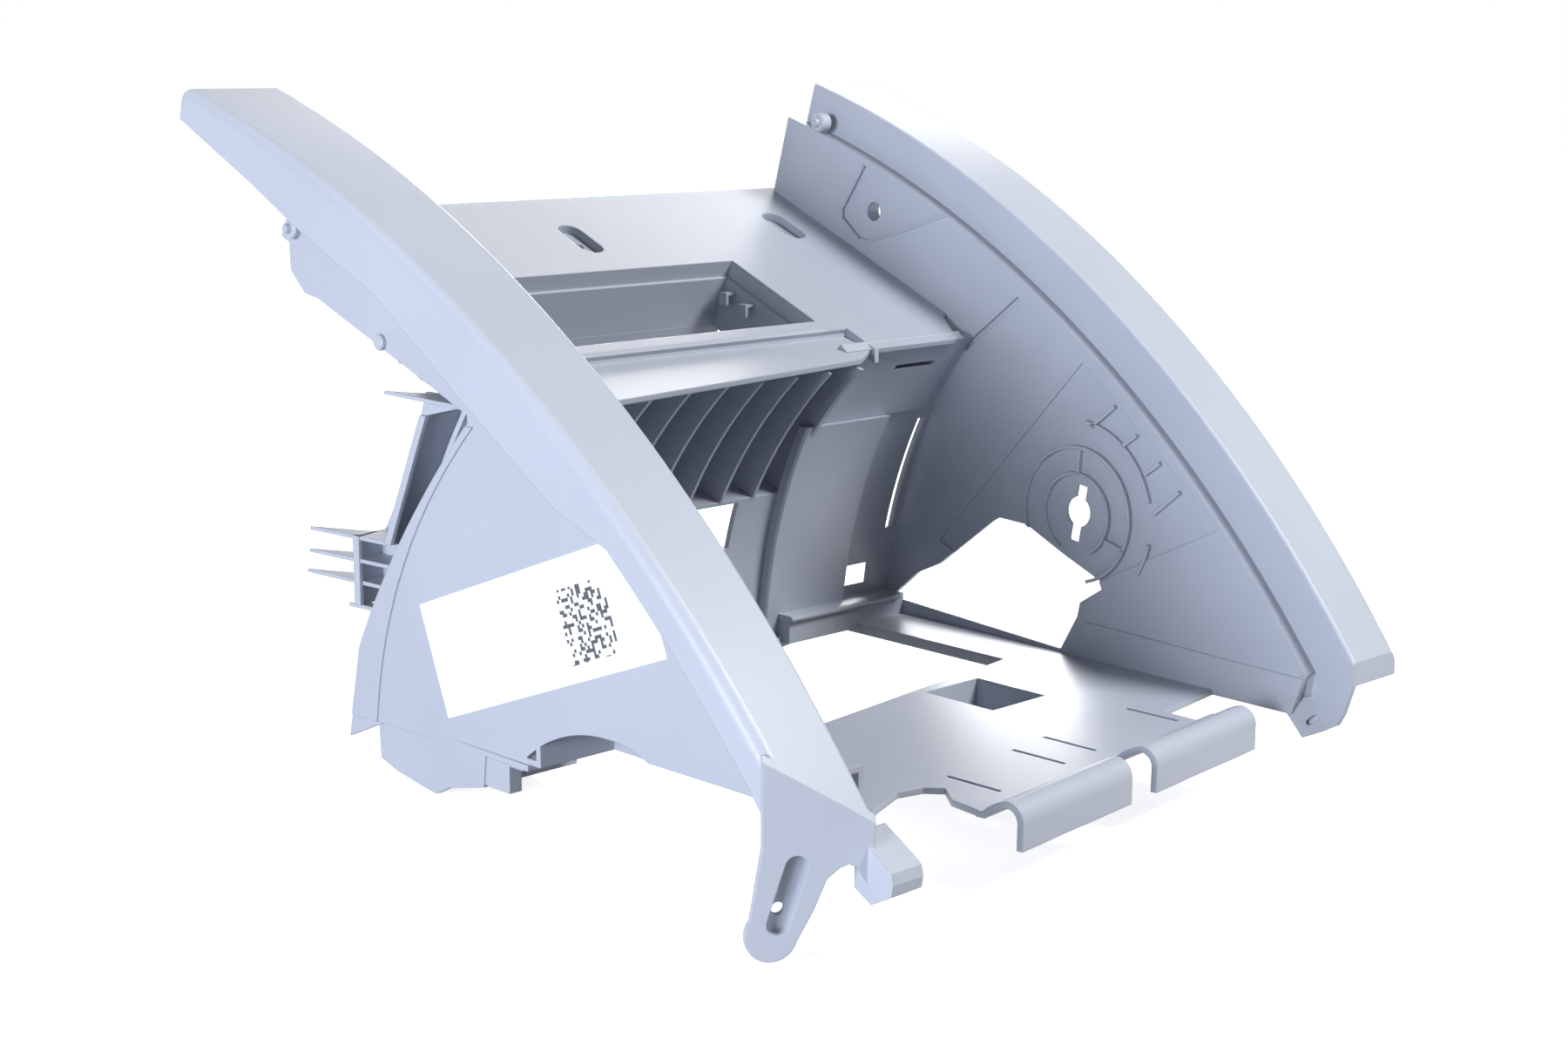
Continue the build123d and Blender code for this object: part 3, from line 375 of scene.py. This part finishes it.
def add_lamp(name, place, size, power, colour):
    """Square area lamp at a place, turned towards the middle of the part."""
    lamp = bpy.data.lights.new(name, "AREA")
    lamp.shape = "SQUARE"
    lamp.size = size
    lamp.energy = power
    lamp.color = linear(colour)[:3]
    holder = bpy.data.objects.new(name, lamp)
    holder.location = place
    holder.rotation_euler = (Vector(LAMP_TARGET) - Vector(place)).to_track_quat("-Z", "Y").to_euler()
    bpy.context.scene.collection.objects.link(holder)


def add_surround():
    """Dim surround for the part, which the eye sees as white."""
    world = bpy.data.worlds.new("surround")
    world.use_nodes = True
    tree = world.node_tree
    tree.nodes.clear()
    output = add_node(tree, "ShaderNodeOutputWorld")
    soft = add_node(tree, "ShaderNodeBackground", {"Color": linear(SKY_COLOUR), "Strength": SURROUND})
    white = add_node(tree, "ShaderNodeBackground", {"Color": linear(SKY_COLOUR), "Strength": 1.0})
    mix = add_node(tree, "ShaderNodeMixShader", {
        0: eye_rays(tree), 1: soft.outputs[0], 2: white.outputs[0],
    })
    tree.links.new(mix.outputs[0], output.inputs["Surface"])
    bpy.context.scene.world = world


def add_camera():
    """Camera at the photograph's place: its axes follow from the turn, the dip and the lean."""
    ahead = cos(CAMERA_DIP)
    forward = np.array((sin(CAMERA_TURN) * ahead, cos(CAMERA_TURN) * ahead, -sin(CAMERA_DIP)))
    level = np.array((cos(CAMERA_TURN), -sin(CAMERA_TURN), 0.0))
    down = np.cross(forward, level)
    right = cos(CAMERA_LEAN) * level + sin(CAMERA_LEAN) * down
    up = sin(CAMERA_LEAN) * level - cos(CAMERA_LEAN) * down
    data = bpy.data.cameras.new("camera")
    data.lens = LENS_LENGTH
    data.sensor_width = SENSOR_WIDTH
    camera = bpy.data.objects.new("camera", data)
    turn = Matrix((right, up, -forward)).transposed().to_4x4()
    camera.matrix_world = Matrix.Translation(CAMERA_PLACE + DRAWING_ZERO) @ turn
    bpy.context.scene.collection.objects.link(camera)
    bpy.context.scene.camera = camera


def sweep_y(radius, height):
    """Place Y at a height on a circle about the pivot line: Y0 + sqrt(radius^2 - (Z - Z0)^2)."""
    return PIVOT_Y + np.sqrt(radius ** 2 - (height - PIVOT_Z) ** 2)


def cheek_x(y, z):
    """Distance of a cheek's outer face from the centre plane: a plane that leans with Y and Z."""
    return CHEEK_OUT + CHEEK_PER_Y * y + CHEEK_PER_Z * z


def straight(outline, shift):
    """Two rings: a flat outline, and the same outline moved by a shift."""
    ring = np.array(outline, dtype=float)
    return np.stack((ring, ring + np.array(shift, dtype=float)))


def block(low, high):
    """Two rings of an upright block between opposite corners."""
    (x0, y0, z0), (x1, y1, z1) = low, high
    return straight([(x0, y0, z0), (x1, y0, z0), (x1, y1, z0), (x0, y1, z0)], (0, 0, z1 - z0))


def turned(profile, centre):
    """Rings of a turned peg along X, about a centre (Y, Z): a circle for each X and radius of its profile."""
    turn = np.linspace(0, 2 * np.pi, PEG_CORNERS, endpoint=False)
    x, radius = np.array(profile, dtype=float).T
    ring = np.stack((np.zeros_like(turn), np.cos(turn), np.sin(turn)), axis=-1)
    rings = ring[None] * radius[:, None, None]
    rings[:, :, 0] = x[:, None]
    return rings + np.array((0, *centre))


def swept(heights, sides, radii, edge=0.0):
    """Rings of a plate that follows the back wall: at each height a section between two sides X and two
    radii about the pivot line, with its two near corners cut off by edge."""
    (left, right), (near, far) = sides, radii
    section = (
        (left, far), (left, near + edge), (left + edge, near),
        (right - edge, near), (right, near + edge), (right, far),
    )
    lines = []
    for x, radius in section:
        lines.append(np.stack((x + 0 * heights, sweep_y(radius, heights), heights), axis=-1))
    return np.stack(lines, axis=1)


def bar(start, end, width, height):
    """Two rings of a bar on the right cheek's inner face, from one side-view place to another: its base,
    let into the face, and its crest at a height above the face, towards the centre plane."""
    start, end = np.array(start, dtype=float), np.array(end, dtype=float)
    along = (end - start) / np.linalg.norm(end - start)
    side = np.array((-along[1], along[0])) * width / 2
    corners = np.array((start + side, end + side, end - side, start - side))
    face = cheek_x(*corners.T) - WALL
    return np.stack([np.column_stack((face - level, corners)) for level in (-LET_IN, height)])


def arc_rib(centre, radius, first_angle, last_angle, height):
    """Rings of a curved rib on the right cheek's inner face: its section, a rib's wall wide and from its
    let-in base to its height, carried along an arc about a side-view centre."""
    stations = 4 + int(abs(last_angle - first_angle) / RING_STEP)
    turn = np.radians(np.linspace(first_angle, last_angle, stations))
    near, far = radius - RIB_WALL / 2, radius + RIB_WALL / 2
    lines = []
    for reach, level in ((near, -LET_IN), (far, -LET_IN), (far, height), (near, height)):
        y, z = centre[0] + reach * np.cos(turn), centre[1] + reach * np.sin(turn)
        lines.append(np.stack((cheek_x(y, z) - WALL - level, y, z), axis=-1))
    return np.stack(lines, axis=1)


def add_moulding(name, forms, material):
    """Piece of the moulding: each form is rings of corners, joined ring to ring and closed at both ends."""
    places, faces, first = [], [], 0
    for rings in forms:
        stations, corners = rings.shape[:2]
        index = first + np.arange(stations * corners).reshape(stations, corners)
        beside = np.roll(index, -1, axis=1)
        sides = np.stack((index[:-1], beside[:-1], beside[1:], index[1:]), axis=-1)
        faces += sides.reshape(-1, 4).tolist() + [index[0].tolist(), index[-1].tolist()]
        places.append(rings.reshape(-1, 3) * MM + np.array(DRAWING_ZERO))
        first += stations * corners
    mesh = bpy.data.meshes.new(name)
    mesh.from_pydata(np.concatenate(places).tolist(), [], faces)
    shell = bmesh.new()
    shell.from_mesh(mesh)
    bmesh.ops.recalc_face_normals(shell, faces=shell.faces)
    shell.to_mesh(mesh)
    shell.free()
    mesh.materials.append(material)
    mesh.shade_smooth()
    mesh.set_sharp_from_angle(angle=SHARP_ANGLE)
    piece = bpy.data.objects.new(name, mesh)
    bpy.context.scene.collection.objects.link(piece)
    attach(piece, "root")


def toe_web():
    """Web that closes the right toe between the ledge's end and the tab, and the plate behind the tab's
    hole: flat outlines given a thickness square to the tab, down its face crossed with across it."""
    away = np.cross(TAB_DOWN, TAB_ACROSS)
    centre = TAB_HOLE + TAB_BACK_DEPTH * away
    reach_down = TAB_BACK_HALF_LENGTH * TAB_DOWN
    reach_across = TAB_BACK_HALF_WIDTH * TAB_ACROSS
    signs = ((1, 1), (1, -1), (-1, -1), (-1, 1))
    back = [centre + down * reach_down + across * reach_across for down, across in signs]
    return [straight(TOE_WEB, RIB_WALL * away), straight(back, TAB_BACK_THICKNESS * away)]


def column_pad():
    """Raised pad of the right column, the strip that narrows its slit, and the back of the upper slit.
    The pad's left side is at PAD_LEFT - PAD_LEAN * (height above its foot)."""
    heights = np.linspace(PAD_LOW, PAD_HIGH, 36)
    pad_sides = (PAD_LEFT - PAD_LEAN * (heights - PAD_LOW), PAD_RIGHT)
    pad = swept(heights, pad_sides, (SWEEP_RADIUS - PAD_PROUD, SWEEP_RADIUS + LET_IN), PAD_EDGE)
    strip = swept(np.linspace(*SLIT_HEIGHTS, 24), SLIT_STRIP, (SWEEP_RADIUS, SWEEP_RADIUS + WALL))
    back_radii = [SWEEP_RADIUS + depth for depth in UPPER_SLIT_DEPTHS]
    back = swept(np.linspace(*UPPER_SLIT_HEIGHTS, 3), UPPER_SLIT_BACK, back_radii)
    return [pad, strip, back]


def left_rim_strip():
    """Raised strip along the left cheek's curved rim: at each height it runs from the rim to an inner line.
    Both lines are curves Y(Z) fitted through their points, and the rim's foot is straight."""
    heights = np.linspace(*RIM_STRIP_HEIGHTS, 45)
    rim_y, rim_z = np.array(RIM_POINTS).T
    inner_y, inner_z = np.array(INNER_POINTS).T
    curve = np.polyval(np.polyfit(rim_z, rim_y, 2), heights)
    foot = rim_y[-1] + (rim_z[-1] - heights) * RIM_FOOT_LEAN
    outer = np.where(heights > rim_z[-1], curve, foot) - RIM_GAP
    inner = np.polyval(np.polyfit(inner_z, inner_y, 3), heights)
    lines = []
    for y, proud in ((outer, -LET_IN), (inner, -LET_IN), (inner, RIM_STRIP_PROUD), (outer, RIM_STRIP_PROUD)):
        lines.append(np.stack((-cheek_x(y, heights) - proud, y, heights), axis=-1))
    return [np.stack(lines, axis=1)]


def bracket_walls():
    """Upright walls of the rear bracket, each with a flange along its outer edge, and the tray's block."""
    forms = []
    for top, low, right_step in np.array(BRACKET_WALLS):
        forms.append(straight([top, low, low + right_step, top + right_step], BRACKET_THICKNESS))
        flange = [top, low, low + BRACKET_FLANGE, top + BRACKET_FLANGE]
        forms.append(straight(flange, (-RIB_WALL, 0, 0)))
    forms.append(block(*TRAY_BLOCK))
    return forms


def window_hooks():
    """Lower end of the window's rear wall, along the panel's normal, and two hooks on its right wall.
    A step along the panel and a depth d below it lead to Y + step cos + d sin and Z + step sin - d cos."""
    run, fall = cos(PANEL_SLOPE), sin(PANEL_SLOPE)
    (near, far), (shallow, deep) = REAR_WALL_STEPS, REAR_WALL_DEPTHS
    outline = []
    for step, depth in ((near, shallow), (far, shallow), (far, deep), (near, deep)):
        y = WINDOW_REAR[0] + step * run + depth * fall
        z = WINDOW_REAR[1] + step * fall - depth * run
        outline.append((WINDOW_LEFT, y, z))
    forms = [straight(outline, (WINDOW_LENGTH, 0, 0))]
    for y, z in HOOK_PLACES:
        arm_z = z - HOOK_THICKNESS
        forms.append(block((HOOK_LEFT, y, arm_z), (HOOK_RIGHT, y + HOOK_WIDTH, z)))
        drop_corner = (HOOK_LEFT + HOOK_THICKNESS, y + HOOK_WIDTH, arm_z + HOOK_OVERLAP)
        forms.append(block((HOOK_LEFT, y, z - HOOK_DROP), drop_corner))
    return forms


def cheek_ribs():
    """Crests of the ribs about the keyhole, and the bead round the screw boss's field."""
    forms = [arc_rib(DISC_CENTRE, *ring, DISC_RIB_HEIGHT) for ring in DISC_RINGS]
    forms += [bar(*spoke, RIB_WALL, DISC_RIB_HEIGHT) for spoke in DISC_SPOKES]
    forms += [bar(*ends, BOSS_BEAD_WIDTH, BOSS_BEAD_HEIGHT) for ends in zip(BOSS_FIELD, BOSS_FIELD[1:])]
    return forms


def shelf_bead():
    """Bead along the shelf's rear edge, which goes on from the fins' back wall to the panel's side wall."""
    fin_back = SWEEP_RADIUS + FIN_DEPTH
    return [swept(np.linspace(*SHELF_BEAD_HEIGHTS, 8), SHELF_BEAD, (fin_back, fin_back + WALL))]


def foot_plate():
    """Top plate of the column's foot: its section carried to the right."""
    return [straight([(FOOT_LEFT, y, z) for y, z in FOOT_SECTION], (FOOT_LENGTH, 0, 0))]


def cheek_pegs():
    """Low strip on the right cheek's inner face, and the short pegs on both cheeks."""
    strip = [(cheek_x(y, z) - WALL + LET_IN, y, z) for y, z in LOW_STRIP]
    forms = [straight(strip, (-LET_IN - LOW_STRIP_PROUD, 0, 0))]
    forms += [turned(profile, centre) for profile, centre in PEGS]
    return forms


plastic = moulded_polypropylene()
dress("glove_box_frame", plastic)
dress("label", label_paper())
add_moulding("toe_web", toe_web(), plastic)
add_moulding("column_pad", column_pad(), plastic)
add_moulding("left_rim_strip", left_rim_strip(), plastic)
add_moulding("bracket_walls", bracket_walls(), plastic)
add_moulding("window_hooks", window_hooks(), plastic)
add_moulding("cheek_ribs", cheek_ribs(), plastic)
add_moulding("shelf_bead", shelf_bead(), plastic)
add_moulding("foot_plate", foot_plate(), plastic)
add_moulding("cheek_pegs", cheek_pegs(), plastic)
add_floor()
for lamp in LAMPS:
    add_lamp(*lamp)
add_surround()
add_camera()
bpy.context.scene.view_settings.view_transform = "Standard"
